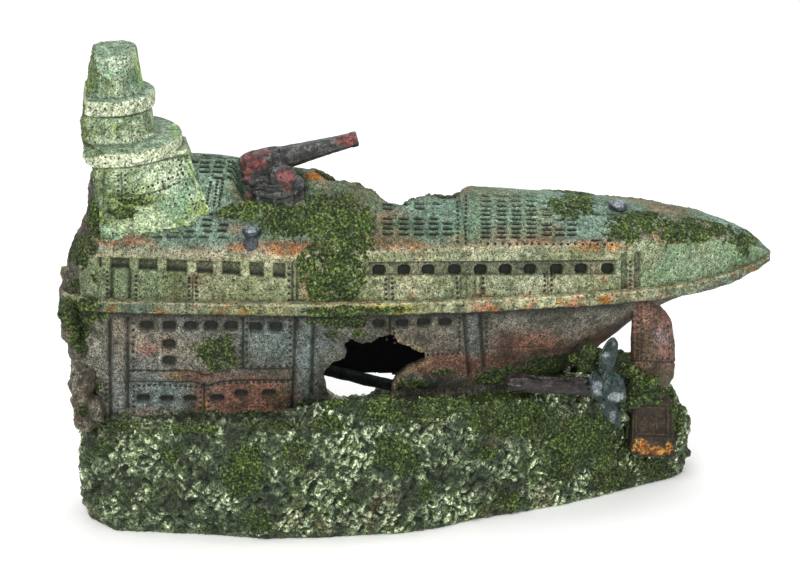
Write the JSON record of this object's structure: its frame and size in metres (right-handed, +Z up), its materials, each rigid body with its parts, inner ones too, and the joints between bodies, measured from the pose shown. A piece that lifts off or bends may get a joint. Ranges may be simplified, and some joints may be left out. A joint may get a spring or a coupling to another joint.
{
  "type": "aquarium bubbling ornament",
  "caption": "Cast-resin sunken submarine wreck on a mossy rock base, with a lift-out air stone and hose that send bubbles through its torn deck.",
  "frame": {"origin": "on the tank floor, under the centre of the ornament's bounding box", "axes": "+X towards the bow, +Z up, -Y is the display side and +Y the back, where the air line leaves"},
  "size_m": [0.3404, 0.1179, 0.2283],
  "materials": {
    "rock_resin": "rough cast resin, painted as mossy rock",
    "hull_resin": "rough cast resin, painted as rusted riveted plate",
    "strake_resin": "rough cast resin, dry-brushed pale",
    "deck_resin": "rough cast resin, painted as weathered deck plate",
    "tower_resin": "rough cast resin, painted pale with green algae",
    "gun_resin": "dark cast resin with rust red",
    "bollard_resin": "dark cast resin, silver dry-brushed",
    "shaft_resin": "dark brown cast resin",
    "propeller_resin": "cast resin, silver painted",
    "rust_resin": "cast resin, rust painted",
    "air_stone_mineral": "sintered mineral grain",
    "fitting_plastic": "translucent moulded plastic",
    "hose_silicone": "translucent silicone",
    "grommet_rubber": "soft black rubber",
    "cradle_plastic": "moulded black plastic"
  },
  "bodies": {
    "wreck": {"rock_base": "rock_resin", "hull_aft": "hull_resin", "hull_fore": "hull_resin", "rubbing_strake": "strake_resin", "casing_aft": "deck_resin", "casing_fore": "deck_resin", "conning_tower": "tower_resin", "gun_pedestal": "gun_resin", "gun_barrel": "gun_resin", "bollard_aft": "bollard_resin", "bollard_fore": "bollard_resin", "propeller_shaft": "shaft_resin", "propeller": "propeller_resin", "bow_support_plate": "rust_resin", "hull_plate_fragment": "rust_resin", "stone_cradle": "cradle_plastic"},
    "air_kit": {"air_hose": "hose_silicone", "hose_connector": "fitting_plastic", "line_grommet": "grommet_rubber"},
    "diffuser": {"air_stone": "air_stone_mineral", "air_stone_stem": "fitting_plastic"}
  },
  "joints": [
    {"name": "wreck_lift_off", "type": "slide", "parent": "air_kit", "child": "wreck", "axis": [0, 0, 1], "range_m": [0, 0.095]},
    {"name": "air_stone_pull", "type": "slide", "parent": "air_kit", "child": "diffuser", "axis": [0, 0, 1], "range_m": [0, 0.014]}
  ]
}
